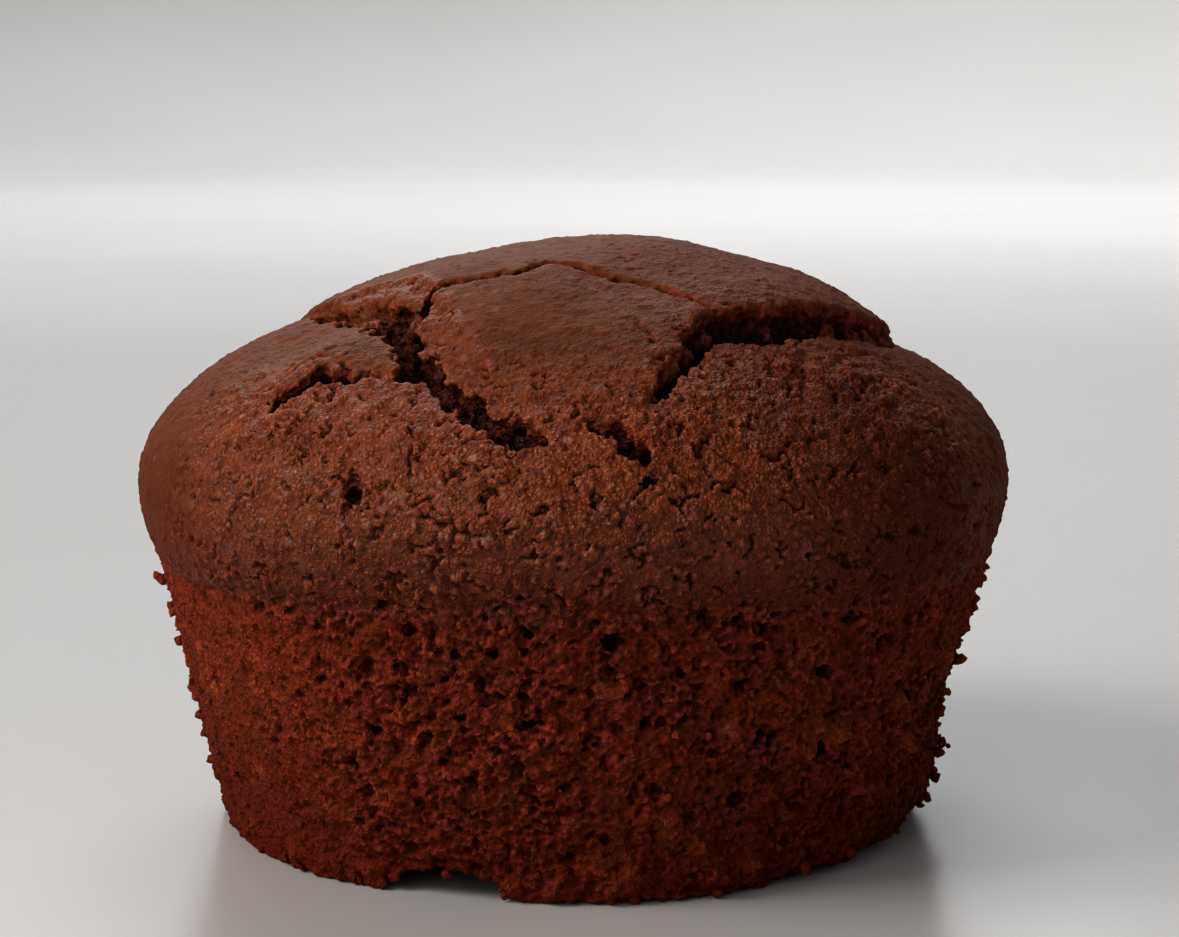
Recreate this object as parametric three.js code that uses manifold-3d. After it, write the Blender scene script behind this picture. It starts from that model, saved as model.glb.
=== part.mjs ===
// A muffin without its case, millimetres, +Z up, the front towards -Y.
// It is one solid of cake. A lower dome, the loaf, carries two raised crust plates that the rising
// crumb has torn apart, and the cracks between them are cut into it. The wall below the crust's rim
// is bare crumb, with open bubbles and clinging crumbs.
// The origin is at the centre of the flat foot that the muffin rests on.

import * as THREE from 'three';
import { mergeVertices } from 'three/addons/utils/BufferGeometryUtils.js';
import Module from 'manifold-3d';

// ---- Driving dimensions ----
const footRadius = 28.3;
const rimRadius = 33.7; // the crust's lower edge, at the mouth of the mould
const rimHeight = 23.1;
const rimStep = 0.4; // the torn wall lies this far inside the crust's edge
const rimWave = 0.45; // the rim's rise and fall
const lipRadius = 35; // the widest part, the crust that spread over the mould
const lipHeight = 28;
const domeRise = 15.3; // from the lip to the top of the lower dome
const crownTop = 47.1; // the highest point of the raised plates
const crownSpan = 80.3; // the crown drops by distance² / crownSpan
const crownShift = 1.5; // the crown leans this far to the right in front
const crownTuck = 0.6; // and sinks this far into the loaf behind
const shoulderRise = 1.1; // the crown stands up on its right side
const shoulderCentre = [19.5, 2];
const shoulderSpread = [5, 9];
const saddleDrop = 0.4; // and sags a little just left of its middle
const saddleCentre = [-1.5, 3];
const saddleSpread = [6, 10];
const footBelow = 1; // the foot is modelled this far too low, then cut flat
const cornerWear = 3.8; // the worn lower corner at the front right
const wearAngle = THREE.MathUtils.degToRad(67); // its direction from the front, towards +X
const wearSpread = THREE.MathUtils.degToRad(34);
const loafDetail = 17; // subdivisions of the icosahedron that the loaf is mapped from
const crownDetail = 20;
const crumbGrain = 0.34; // random relief of the torn wall
const crustGrain = 0.06; // and of the crust
const swell = 0.35; // slow waves of the whole surface
const longWave = 4.4; // their lengths, over 2π
const shortWave = 2.6;
const shortShare = 0.35; // height of the short waves, as a share of the long ones
const bulgeHeight = 0.8; // the left lobe's bulge behind the branch crack
const bulgeCentre = [-19, -16];
const bulgeSpread = [6, 3.5];
const plateFloor = 30; // the plates' prisms start here, well inside the loaf
const skyHeight = 60; // and they and the cutters end here, above everything
const weldDistance = 1e-4; // vertices closer than this are one

// ---- Seeded random numbers ----
let seed = 9189;
function random() {
  seed = (seed * 1664525 + 1013904223) % 4294967296;
  return seed / 4294967296;
}
const between = (low, high) => low + (high - low) * random();

// ---- Form of the loaf and the crown ----

// Slow waves that the loaf and the crown share, so that the plates follow the dome.
function wave(x, y, z) {
  const long = Math.sin(x / longWave + 0.6) * Math.cos(y / longWave - 0.4);
  const short = Math.sin((x - y + z) / shortWave) * shortShare;
  return swell * (long + short);
}

// A low round hill with its top at a centre.
function hill(x, y, [centreX, centreY], [spreadX, spreadY]) {
  return Math.exp(-(((x - centreX) / spreadX) ** 2) - ((y - centreY) / spreadY) ** 2);
}

// Half of the loaf's section, from the foot's centre round the lip to the top of the dome.
function loafSection() {
  const path = new THREE.Path();
  path.moveTo(0, -footBelow);
  path.lineTo(footRadius - footBelow / 4, -footBelow);
  path.lineTo(rimRadius - rimStep, rimHeight);
  path.lineTo(rimRadius, rimHeight);
  path.absellipse(rimRadius, lipHeight, lipRadius - rimRadius, lipHeight - rimHeight, -Math.PI / 2, 0);
  path.absellipse(0, lipHeight, lipRadius, domeRise, 0, Math.PI / 2);
  const steps = 400;
  return path.getSpacedPoints(steps);
}

// The same section with the share of the surface that lies below each point. The foot counts
// little, so that nearly all vertices go to the wall and the dome.
function sectionShares(points) {
  const footWeight = 0.03;
  const shares = [0];
  for (let i = 1; i < points.length; i += 1) {
    const middle = (points[i].x + points[i - 1].x) / 2;
    const weight = points[i].y <= -footBelow ? footWeight : 1;
    shares.push(shares[i - 1] + weight * middle * points[i].distanceTo(points[i - 1]));
  }
  const whole = shares[shares.length - 1];
  return shares.map((share) => share / whole);
}

// How far the rounded, worn corner reaches up the wall in direction angle from the front.
function wearAt(angle) {
  const away = (angle - wearAngle) / wearSpread;
  return cornerWear * Math.exp(-away * away);
}

// How far the worn corner draws the wall in at a height.
function wornIn(angle, height) {
  const wear = wearAt(angle);
  const down = THREE.MathUtils.clamp((wear - height) / wear, 0, 1);
  return wear * (1 - Math.sqrt(1 - down * down));
}

// The rim rises and falls three times round the muffin, and takes the crust near it along.
function rimRise(angle, height) {
  const reach = 6;
  const nearRim = Math.exp(-(((height - rimHeight) / reach) ** 2));
  return nearRim * rimWave * Math.sin(3 * angle + 1.9);
}

// The section's point below which a share of the surface lies.
function sectionPoint(share, points, shares) {
  let i = 1;
  while (i < shares.length - 1 && shares[i] < share) i += 1;
  const along = (share - shares[i - 1]) / (shares[i] - shares[i - 1]);
  return new THREE.Vector2().lerpVectors(points[i - 1], points[i], along);
}

// Sets one vertex of the loaf from its direction on a unit sphere. The waves move the wall in and
// out and the dome up and down.
function placeOnLoaf(vertex, points, shares) {
  const { x: sectionRadius, y: height } = sectionPoint((1 + vertex.z) / 2, points, shares);
  if (height <= -footBelow) {
    vertex.set(vertex.x, vertex.y, 0).setLength(sectionRadius).setZ(height);
    return;
  }
  const angle = Math.atan2(vertex.x, -vertex.y);
  const radius = sectionRadius - wornIn(angle, height);
  const x = radius * Math.sin(angle);
  const y = -radius * Math.cos(angle);
  const domeShare = THREE.MathUtils.clamp(height / lipHeight, 0, 1);
  const grain = height < rimHeight ? crumbGrain : crustGrain;
  const nearAxis = Math.min(1, radius);
  const outward = nearAxis * (wave(x, y, height) * (1 - domeShare) + between(-grain, grain));
  const upward = wave(x, y, height) * domeShare + bulgeHeight * hill(x, y, bulgeCentre, bulgeSpread);
  const rise = upward + rimRise(angle, height) + between(-crustGrain, crustGrain);
  vertex.set(x, y, 0).setLength(radius + outward).setZ(height + rise);
}

// Height of the raised crust plates above the foot.
function crownHeight(x, y) {
  const front = 1 - THREE.MathUtils.smoothstep(y, -2, 12);
  const behind = 1 - THREE.MathUtils.smoothstep(y, -14, 2);
  const radius = Math.hypot(x, y);
  const tuck = crownTuck * (1 - behind) * THREE.MathUtils.smoothstep(radius, 22, 29);
  const across = x - crownShift * front;
  const shoulder = shoulderRise * hill(x, y, shoulderCentre, shoulderSpread);
  const saddle = saddleDrop * hill(x, y, saddleCentre, saddleSpread);
  return crownTop - (across * across + y * y) / crownSpan - tuck + shoulder - saddle;
}

// ---- Geometry and solids ----

// A sphere of near-even triangles with shared vertices, each moved by place.
function mappedSphere(detail, place) {
  const geometry = new THREE.IcosahedronGeometry(1, detail);
  geometry.deleteAttribute('normal');
  geometry.deleteAttribute('uv');
  const merged = mergeVertices(geometry, weldDistance);
  const position = merged.getAttribute('position');
  const vertex = new THREE.Vector3();
  for (let i = 0; i < position.count; i += 1) {
    vertex.fromBufferAttribute(position, i);
    place(vertex);
    position.setXYZ(i, vertex.x, vertex.y, vertex.z);
  }
  return merged;
}

function loafGeometry() {
  const points = loafSection();
  const shares = sectionShares(points);
  return mappedSphere(loafDetail, (vertex) => placeOnLoaf(vertex, points, shares));
}

// The crown's cap: a ball whose upper face is the plates' surface.
function crownGeometry() {
  const radius = crownSpan / 2;
  const upperFrom = 0.3;
  return mappedSphere(crownDetail, (vertex) => {
    const isUpper = vertex.z > upperFrom;
    vertex.multiplyScalar(radius);
    vertex.z += crownTop - radius;
    if (isUpper) {
      const slow = wave(vertex.x, vertex.y, vertex.z);
      vertex.z = crownHeight(vertex.x, vertex.y) + slow + between(-crustGrain, crustGrain);
    }
  });
}

// A block that stands on an outline in plan.
function prismGeometry(outline, bottom, top) {
  const shape = new THREE.Shape(outline.map(([x, y]) => new THREE.Vector2(x, y)));
  const geometry = new THREE.ExtrudeGeometry(shape, { depth: top - bottom, bevelEnabled: false });
  return geometry.translate(0, 0, bottom);
}

// A crumb or a bubble: a small, turned icosahedron, stretched along its own axis.
function blobGeometry([x, y, z], size, stretch = 1) {
  const geometry = new THREE.IcosahedronGeometry(size, 0);
  geometry.scale(1, 1, stretch);
  geometry.rotateX(between(0, Math.PI));
  geometry.rotateZ(between(0, Math.PI));
  return geometry.translate(x, y, z);
}

const wasm = await Module();
wasm.setup();

function solidOf(geometry) {
  const bare = geometry.clone();
  bare.deleteAttribute('normal');
  bare.deleteAttribute('uv');
  const merged = mergeVertices(bare, weldDistance);
  const vertProperties = new Float32Array(merged.getAttribute('position').array);
  const triVerts = new Uint32Array(merged.getIndex().array);
  return new wasm.Manifold(new wasm.Mesh({ numProp: 3, vertProperties, triVerts }));
}

function geometryOf(solid) {
  const mesh = solid.getMesh();
  const geometry = new THREE.BufferGeometry();
  geometry.setAttribute('position', new THREE.BufferAttribute(new Float32Array(mesh.vertProperties), 3));
  geometry.setIndex(new THREE.BufferAttribute(new Uint32Array(mesh.triVerts), 1));
  geometry.computeVertexNormals();
  return geometry;
}

// ---- Crust plates, outlines in plan ----

// The thin crack over the top, from the left tear to the right one.
const topCrack = [
  [-11.5, -14.5], [-10.5, -11], [-6.5, -11.5], [-4, -11.5], [-2, -9.5],
  [0.5, -10.5], [3, -12.5], [6, -13], [9.5, -15.5], [11.5, -15],
];
const topCrackWidth = 0.5;

// The front plate's free edge, down the main crack, round its toe and up the right crack.
const frontPlateEdge = [
  [11.5, -16.5], [10, -17.5], [8.5, -20.5], [8.5, -22.5], [7, -24.5], [6.5, -26.5], [5, -28],
  [6, -30], [4, -31], [1.5, -31], [-1, -31], [-2.5, -30], [-4.5, -29], [-6, -27.5], [-6.5, -26],
  [-8.5, -24.5], [-9.5, -22.5], [-11, -21.5], [-11, -18.5], [-12, -17],
];

// The back plate's torn ends, left and right of the thin crack, and its tucked rear edge.
const backPlateLeft = [
  [-12.5, -13.5], [-14.5, -10.5], [-16, -7], [-18.5, -3.5], [-20, 0], [-22, 4], [-23, 9],
];
const backPlateRight = [
  [24, 10], [25.5, 5], [25.5, 0], [24.5, -4], [22.5, -7], [19, -10.5], [16.5, -13], [13.5, -15.5],
];
const backPlateRear = 31;

// Points of the rear edge, round the back from the left end to the right end.
function rearArc() {
  const fromAngle = THREE.MathUtils.degToRad(152);
  const toAngle = THREE.MathUtils.degToRad(28);
  const steps = 14;
  const points = [];
  for (let i = 0; i <= steps; i += 1) {
    const angle = THREE.MathUtils.lerp(fromAngle, toAngle, i / steps);
    points.push([backPlateRear * Math.cos(angle), backPlateRear * Math.sin(angle)]);
  }
  return points;
}

const frontPlate = [...topCrack.map(([x, y]) => [x, y - topCrackWidth]), ...frontPlateEdge];
const backPlate = [...topCrack].reverse().concat(backPlateLeft, rearArc(), backPlateRight);

// ---- Cracks: points [x, y, half width] along the middle, and the depth below the dome ----
const mainCrack = {
  depth: 4.5,
  points: [
    [-22.5, 4, 0], [-20.5, -1, 0.5], [-17.5, -6.5, 0.6], [-15, -11, 1.1], [-13.5, -14, 1.4],
    [-13, -16.5, 0.8], [-12, -19, 0.9], [-11.5, -21, 1.2], [-10, -23.5, 0.8], [-8.5, -25.5, 1.1],
    [-7, -27.5, 1.1], [-5.5, -29, 0.8], [-4, -30, 0.9], [-2.5, -31, 0.7], [-1, -31.7, 0],
  ],
};
const leftBranch = {
  depth: 2.5,
  points: [
    [-12.5, -22.5, 0], [-14, -21, 0.3], [-15.5, -21, 0.3], [-17, -20, 0.4], [-18.5, -19.5, 0.6],
    [-20.5, -19.5, 0.6], [-22, -20.5, 0.5], [-23.5, -22, 0],
  ],
};
const rightCrack = {
  depth: 3,
  points: [
    [6.5, -20.5, 0], [9, -20, 0.3], [10.5, -18, 0.8], [12.5, -16.5, 0.8], [15, -15, 0.7],
    [17.5, -12.5, 0.6], [20, -10.5, 0.6], [23, -7, 0.6], [25, -4, 0.5], [26.5, 1, 0],
  ],
};
const rightBranch = {
  depth: 2.5,
  points: [
    [10.5, -18, 0.3], [9.5, -20, 0.6], [9, -22, 0.6], [8, -24, 0.5], [7, -25.5, 0.5],
    [6.5, -27, 0.3], [5, -28.5, 0],
  ],
};
const toeHole = {
  depth: 2.5,
  points: [[1, -30, 0], [2, -30.5, 0.5], [3.5, -31, 0.7], [5, -32, 0]],
};
const leftHole = {
  depth: 1.5,
  points: [[-15, -29, 0], [-15.5, -30, 0.3], [-16.3, -30.8, 0.5], [-15, -31.5, 0]],
};
const cracks = [mainCrack, leftBranch, rightCrack, rightBranch, toeHole, leftHole];

// Outline of a crack: out along one side and back along the other. Its ends are nearly points.
function crackOutline(points) {
  const pointed = 0.05;
  const left = [];
  const right = [];
  points.forEach(([x, y, half], i) => {
    const before = points[Math.max(0, i - 1)];
    const after = points[Math.min(points.length - 1, i + 1)];
    const across = new THREE.Vector2(before[1] - after[1], after[0] - before[0]).setLength(half || pointed);
    left.push([x + across.x, y + across.y]);
    right.unshift([x - across.x, y - across.y]);
  });
  return [...left, ...right];
}

// A crack's cutter stops at a floor that follows the dome, depth below it.
function crackCutter(loaf, { depth, points }) {
  const floor = solidOf(loaf.clone().translate(0, 0, -depth));
  return solidOf(prismGeometry(crackOutline(points), plateFloor - depth, skyHeight)).subtract(floor);
}

// ---- Wall: bubbles, crumbs and the gap under the foot ----

// Radius of the torn wall at a height.
const wallRadius = (z) => THREE.MathUtils.lerp(footRadius, rimRadius - rimStep, z / rimHeight);

// A point on the wall, at an angle in degrees from the front, a height and a distance out of it.
function onWall(degrees, z, out = 0) {
  const angle = THREE.MathUtils.degToRad(degrees);
  const radius = wallRadius(z) + out;
  return [radius * Math.sin(angle), -radius * Math.cos(angle), z];
}

// Angle and height of the largest open bubbles. More lie round the back.
const frontBubbles = [
  [-34, 20.5], [-24, 11.5], [-42, 19], [25, 20], [37, 18], [47, 19.5], [-9, 11], [15, 10], [-20, 15.5],
];
const rearBubbles = 11;
const bubbleSize = [0.7, 1.1]; // smallest and largest radius
const bubbleStretch = 1.3;

// Angle, height and size of the crumbs that stand out of the wall and the foot's edge.
const crumbs = [
  [87, 5.2, 0.9], [88, 5.9, 0.7], [-88, 19, 0.6], [84, 18, 0.7], [80, 10.5, 0.6], [86, 3, 0.7],
  [-30, 0.8, 0.8], [-9, 0.6, 0.9], [17, 0.7, 0.7], [4, 1, 0.6], [19, 2.2, 0.8], [-72, 4, 0.5],
];
const rearCrumbs = 10;

function bubbleCutters() {
  const places = [...frontBubbles];
  for (let i = 0; i < rearBubbles; i += 1) places.push([between(100, 250), between(4, 20)]);
  return places.map(([degrees, z]) =>
    solidOf(blobGeometry(onWall(degrees, z), between(...bubbleSize), bubbleStretch)));
}

function crumbSolids() {
  const places = [...crumbs];
  for (let i = 0; i < rearCrumbs; i += 1) {
    places.push([between(100, 260), between(2, 20), between(0.5, 0.8)]);
  }
  return places.map(([degrees, z, size]) => solidOf(blobGeometry(onWall(degrees, z, size / 3), size)));
}

// The low arch where the foot's edge came away, left of the front.
function archCutter() {
  const degrees = -20;
  const halfWidth = 4.6;
  const inward = 5;
  const height = 1.5;
  const arch = new THREE.SphereGeometry(1, 12, 8);
  arch.rotateX(Math.PI / 2);
  arch.scale(halfWidth, inward, height);
  arch.rotateZ(THREE.MathUtils.degToRad(degrees));
  const [x, y] = onWall(degrees, 0, -1);
  return solidOf(arch.translate(x, y, 0));
}

function footCutter() {
  const width = 4 * lipRadius;
  const block = new THREE.BoxGeometry(width, width, width);
  return solidOf(block.translate(0, 0, -width / 2));
}

// ---- The muffin ----
function muffinSolid() {
  const loaf = loafGeometry();
  const crown = solidOf(crownGeometry());
  const plates = [frontPlate, backPlate].map((outline) =>
    solidOf(prismGeometry(outline, plateFloor, skyHeight)).intersect(crown));
  const cutters = cracks.map((crack) => crackCutter(loaf, crack));
  const whole = [...plates, ...crumbSolids()].reduce((solid, added) => solid.add(added), solidOf(loaf));
  return [...cutters, ...bubbleCutters(), archCutter(), footCutter()]
    .reduce((solid, cutter) => solid.subtract(cutter), whole);
}

const crust = new THREE.MeshStandardMaterial({ color: 0x5a3524, roughness: 0.85, metalness: 0 });
const muffin = new THREE.Mesh(geometryOf(muffinSolid()), crust);
muffin.name = 'muffin';

const group = new THREE.Group();
group.add(muffin);
export default group;
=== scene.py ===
import itertools
import math
import random

import bmesh
import bpy
import numpy as np
from mathutils import Euler, Matrix, Vector


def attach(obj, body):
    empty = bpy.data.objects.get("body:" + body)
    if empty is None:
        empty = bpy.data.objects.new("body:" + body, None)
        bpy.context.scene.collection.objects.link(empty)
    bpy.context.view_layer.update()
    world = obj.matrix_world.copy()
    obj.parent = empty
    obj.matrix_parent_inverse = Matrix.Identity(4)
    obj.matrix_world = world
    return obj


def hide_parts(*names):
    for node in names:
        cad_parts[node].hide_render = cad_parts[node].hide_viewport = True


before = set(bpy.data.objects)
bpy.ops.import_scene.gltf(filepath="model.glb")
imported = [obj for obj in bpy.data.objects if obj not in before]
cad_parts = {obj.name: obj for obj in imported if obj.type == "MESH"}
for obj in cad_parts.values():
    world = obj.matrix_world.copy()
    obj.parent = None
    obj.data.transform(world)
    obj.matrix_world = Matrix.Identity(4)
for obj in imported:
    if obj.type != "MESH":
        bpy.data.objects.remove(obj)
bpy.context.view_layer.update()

# ---- Studio ----
# A round pale sweep with a light glaze, lit like a table at a window: one large soft light from the
# left, a cool one from behind, a weak one in front, and one for the sweep behind the muffin. The
# camera looks a little down on the front.
MM = 0.001
IMAGE_WIDTH = 1179
FOCAL_PIXELS = 3000
SENSOR_WIDTH = 36
CAMERA_PLACE = (1.3 * MM, -241.5 * MM, 63.2 * MM)
CAMERA_DROP = math.radians(8.25)
NEAREST = 10 * MM
VIEW_GAMMA = 0.82

camera_data = bpy.data.cameras.new("camera")
camera_data.sensor_width = SENSOR_WIDTH
camera_data.lens = FOCAL_PIXELS / IMAGE_WIDTH * SENSOR_WIDTH
camera_data.clip_start = NEAREST
camera = bpy.data.objects.new("camera", camera_data)
camera.location = CAMERA_PLACE
camera.rotation_euler = (math.pi / 2 - CAMERA_DROP, 0, 0)
bpy.context.collection.objects.link(camera)
bpy.context.scene.camera = camera
bpy.context.scene.view_settings.view_transform = "Standard"
bpy.context.scene.view_settings.gamma = VIEW_GAMMA

MUFFIN_MIDDLE = (0, 0, 20 * MM)


def soft_light(name, place, size, power, colour, aim=MUFFIN_MIDDLE):
    """A square area light that faces the muffin, or another aim."""
    data = bpy.data.lights.new(name, "AREA")
    data.size = size
    data.energy = power
    data.color = colour
    light = bpy.data.objects.new(name, data)
    light.location = place
    light.rotation_euler = (Vector(aim) - Vector(place)).to_track_quat("-Z", "Y").to_euler()
    bpy.context.collection.objects.link(light)


soft_light("window", (-0.70, -0.26, 0.62), 0.45, 6.4, (1.0, 0.96, 0.92))
soft_light("back_sky", (-0.1, 0.9, 0.75), 0.8, 8.2, (0.93, 0.96, 1.0))
soft_light("front_fill", (-0.5, -0.75, 0.5), 0.7, 2.5, (1.0, 0.97, 0.94))
soft_light("backdrop", (0.3, 0.7, 0.7), 0.5, 7, (1.0, 0.99, 1.0), aim=(0.2, 1.6, 0.3))


def node(tree, kind, inputs=None, **settings):
    """Adds a shader node, with settings as its properties and inputs as values or links."""
    made = tree.nodes.new(kind)
    for name, value in settings.items():
        setattr(made, name, value)
    for name, value in (inputs or {}).items():
        if isinstance(value, bpy.types.NodeSocket):
            tree.links.new(value, made.inputs[name])
        else:
            made.inputs[name].default_value = value
    return made


def noise(tree, place, scale, detail, roughness=0.5):
    """Soft random tones, with features of about 1/scale metres."""
    return node(tree, "ShaderNodeTexNoise", {
        "Vector": place, "Scale": scale, "Detail": detail, "Roughness": roughness,
    })


def blend(tree, share, first, second):
    """The first colour with a share of the second."""
    return node(tree, "ShaderNodeMix", {
        "Factor": share, "A": first, "B": second,
    }, data_type="RGBA").outputs["Result"]


ROOM_COLOUR = (0.86, 0.88, 0.92, 1)
ROOM_STRENGTH = 0.25
world = bpy.data.worlds.new("room")
bpy.context.scene.world = world
world.use_nodes = True
air = world.node_tree.nodes["Background"].inputs
air["Color"].default_value = ROOM_COLOUR
air["Strength"].default_value = ROOM_STRENGTH


def new_piece(name, shape):
    """Makes an object from a bmesh, which is freed."""
    mesh = bpy.data.meshes.new(name)
    shape.to_mesh(mesh)
    shape.free()
    piece = bpy.data.objects.new(name, mesh)
    bpy.context.collection.objects.link(piece)
    return piece


def spun(section, segments):
    """A bmesh turned about Z from a section of (radius, height) points that ends on the axis."""
    shape = bmesh.new()
    verts = [shape.verts.new((radius, 0, height)) for radius, height in section]
    edges = [shape.edges.new(pair) for pair in zip(verts, verts[1:])]
    bmesh.ops.spin(
        shape, geom=verts + edges, cent=(0, 0, 0), axis=(0, 0, 1), dvec=(0, 0, 0),
        angle=2 * math.pi, steps=segments, use_merge=True,
    )
    bmesh.ops.remove_doubles(shape, verts=shape.verts, dist=1e-6)
    bmesh.ops.recalc_face_normals(shape, faces=shape.faces)
    return shape


SWEEP_RADIUS = 1.1
SWEEP_CURVE = 0.5
SWEEP_SEGMENTS = 96
FLOOR_GAP = 0.05 * MM
GLAZE_DARK = (0.56, 0.55, 0.53, 1)
GLAZE_LIGHT = (0.62, 0.61, 0.60, 1)
sweep_section = [(0, 0), (0.1, 0), (SWEEP_RADIUS, 0)] + [
    (SWEEP_RADIUS + SWEEP_CURVE * math.sin(a), SWEEP_CURVE * (1 - math.cos(a)))
    for a in np.linspace(0.1, math.pi / 2, 12)
]
floor = new_piece("floor", spun(sweep_section, SWEEP_SEGMENTS))
for vertex in floor.data.vertices:
    vertex.co.z -= FLOOR_GAP
for face in floor.data.polygons:
    face.use_smooth = True

glaze = bpy.data.materials.new("pale_glaze")
glaze.use_nodes = True
tree = glaze.node_tree
shader = tree.nodes["Principled BSDF"].inputs
place = node(tree, "ShaderNodeTexCoord").outputs["Object"]
cloud = noise(tree, place, 6.0, 2.0).outputs["Fac"]
tree.links.new(blend(tree, cloud, GLAZE_DARK, GLAZE_LIGHT), shader["Base Color"])
shader["Roughness"].default_value = 0.22
shader["Specular IOR Level"].default_value = 0.4
floor.data.materials.append(glaze)

# ---- Body ----
# The whole muffin in one skin: a flat foot, a tapered wall of torn crumb, a lip that spread over the
# mould, and a low dome on which the rising crumb lifted two plates of crust and tore them apart. It
# is spun from its section in millimetres, pushed into relief and remeshed, and is cut up further on.
FOOT_RADIUS = 28.3
RIM_RADIUS = 33.4
RIM_HEIGHT = 22.4
LIP_RADIUS = 35.0
LIP_HEIGHT = 28.0
DOME_RISE = 15.3
LOBE_BULGE = 0.8
LOBE = ((-19, -16), (6, 3.5))  # middle and spread of a bulge in the dome
CROWN_TOP = 47.1
CROWN_SPAN = 80.3
CROWN_SHIFT = 1.5
CROWN_TUCK = 0.6
TUCK_DEPTH = (-14, 2)  # the tuck of the back plate's edge comes in over these y
TUCK_EDGE = (22, 29)  # and these radii
SHIFT_END = (-2, 12)  # the front plate's shift to the right fades out over these y
SHOULDER_RISE = 1.1
SHOULDER = ((19.5, 2), (5, 9))  # where the crown stands up
SADDLE_DROP = 0.4
SADDLE = ((-1.5, 3), (6, 10))  # where it sags
SWELL = 0.35
LONG_WAVE = 4.4
SHORT_WAVE = 2.6
SHORT_SHARE = 0.35
RIM_WAVE = 0.45
RIM_WAVE_REACH = 6
RIM_WAVE_TURN = 1.9
CORNER_WEAR = 3.8
WEAR_ANGLE = math.radians(67)
WEAR_SPREAD = math.radians(34)
WEAR_REACH = 4
BODY_SEGMENTS = 270
FIRST_VOXEL = 0.19
LAST_VOXEL = 0.19


def smoothstep(x, low, high):
    """0 at low, 1 at high, and an even S-curve between them."""
    t = np.clip((x - low) / (high - low), 0, 1)
    return t * t * (3 - 2 * t)


def hill(x, y, centre, spread):
    """1 at a place in plan, falling off to 0 over the spread in x and in y."""
    return np.exp(-((x - centre[0]) / spread[0]) ** 2 - ((y - centre[1]) / spread[1]) ** 2)


def side_radius(height):
    """Radius of the smooth side: straight up to the rim, and curved out from there to the lip."""
    wall = FOOT_RADIUS + (RIM_RADIUS - FOOT_RADIUS) * height / RIM_HEIGHT
    below_lip = np.clip((LIP_HEIGHT - height) / (LIP_HEIGHT - RIM_HEIGHT), 0, 1)
    lip = LIP_RADIUS - (LIP_RADIUS - RIM_RADIUS) * below_lip ** 2
    return np.where(height < RIM_HEIGHT, wall, lip)


def slow_wave(x, y, z):
    """Slow waves of the whole muffin, the same as the solid's."""
    long = np.sin(x / LONG_WAVE + 0.6) * np.cos(y / LONG_WAVE - 0.4)
    return SWELL * (long + SHORT_SHARE * np.sin((x - y + z) / SHORT_WAVE))


def rim_rise(angle, height):
    """The rim rises and falls three times round, and takes the crust near it along."""
    near = np.exp(-((height - RIM_HEIGHT) / RIM_WAVE_REACH) ** 2)
    return near * RIM_WAVE * np.sin(3 * angle + RIM_WAVE_TURN)


def loaf_height(x, y):
    """Height of the lower dome."""
    share = np.clip(np.hypot(x, y) / LIP_RADIUS, 0, 1)
    bulge = LOBE_BULGE * hill(x, y, *LOBE)
    return LIP_HEIGHT + DOME_RISE * np.sqrt(1 - share ** 2) + bulge


def crown_height(x, y):
    """Height of the raised plates."""
    front = 1 - smoothstep(y, *SHIFT_END)
    behind = smoothstep(y, *TUCK_DEPTH)
    tuck = CROWN_TUCK * behind * smoothstep(np.hypot(x, y), *TUCK_EDGE)
    bump = SHOULDER_RISE * hill(x, y, *SHOULDER) - SADDLE_DROP * hill(x, y, *SADDLE)
    return CROWN_TOP - ((x - CROWN_SHIFT * front) ** 2 + y ** 2) / CROWN_SPAN - tuck + bump


def wear_at(angle):
    """How high the worn lower corner reaches."""
    return CORNER_WEAR * np.exp(-((angle - WEAR_ANGLE) / WEAR_SPREAD) ** 2)


TABLE_ROWS = 262139
RANDOM_TABLE = np.random.RandomState(7).random_sample((TABLE_ROWS, 3)).astype(np.float32)
PRIMES = (7919, 104729, 1299709, 15485863)


def drawn(cell, seed):
    """Three random numbers in 0..1 for each cell of a grid, given by its whole-number place."""
    key = cell[:, 0] * PRIMES[0] + cell[:, 1] * PRIMES[1] + cell[:, 2] * PRIMES[2] + seed * PRIMES[3]
    return RANDOM_TABLE[key % TABLE_ROWS]


GRID_SHIFT = 40.5


def waves(points, size, seed):
    """Smooth random waves in about -1..1, with features of the given size."""
    place = points / size + GRID_SHIFT
    cell = np.floor(place)
    part = (place - cell).astype(np.float32)
    cell = cell.astype(np.int64)
    fade = part ** 3 * (part * (part * 6 - 15) + 10)
    total = np.zeros(len(points), np.float32)
    for corner in itertools.product((0, 1), repeat=3):
        slope = drawn(cell + corner, seed) - 0.5
        weight = np.where(corner, fade, 1 - fade).prod(axis=1)
        total += weight * ((part - np.float32(corner)) * slope).sum(axis=1)
    return 3 * total


def balls(points, normals, spacing, sizes, share, seed, grains=False):
    """Relief of balls strewn through space, one to a grid cell: how deep a line from each point goes
    into the bubbles that it lies in or, for grains, how far the balls stand out of the surface."""
    points = points.astype(np.float32)
    normals = normals.astype(np.float32)
    cell = np.floor(points / spacing).astype(np.int64)
    best = np.zeros(len(points), np.float32)
    for step in itertools.product((-1, 0, 1), repeat=3):
        here = cell + step
        away = points - ((here + drawn(here, seed)) * spacing).astype(np.float32)
        luck = drawn(here, seed + 1)
        radius = np.where(luck[:, 1] < share, sizes[0] + (sizes[1] - sizes[0]) * luck[:, 0] ** 2, 0)
        along = (away * normals).sum(axis=1)
        reach = radius ** 2 - (away ** 2).sum(axis=1) + along ** 2
        chord = np.sqrt(np.maximum(reach, 0))
        if grains:
            relief = np.where((reach > 0) & (np.abs(along) < 0.6 * radius), chord - along, 0)
        else:
            relief = np.where(reach > along ** 2, chord + along, 0)
        best = np.maximum(best, relief)
    return best


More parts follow.
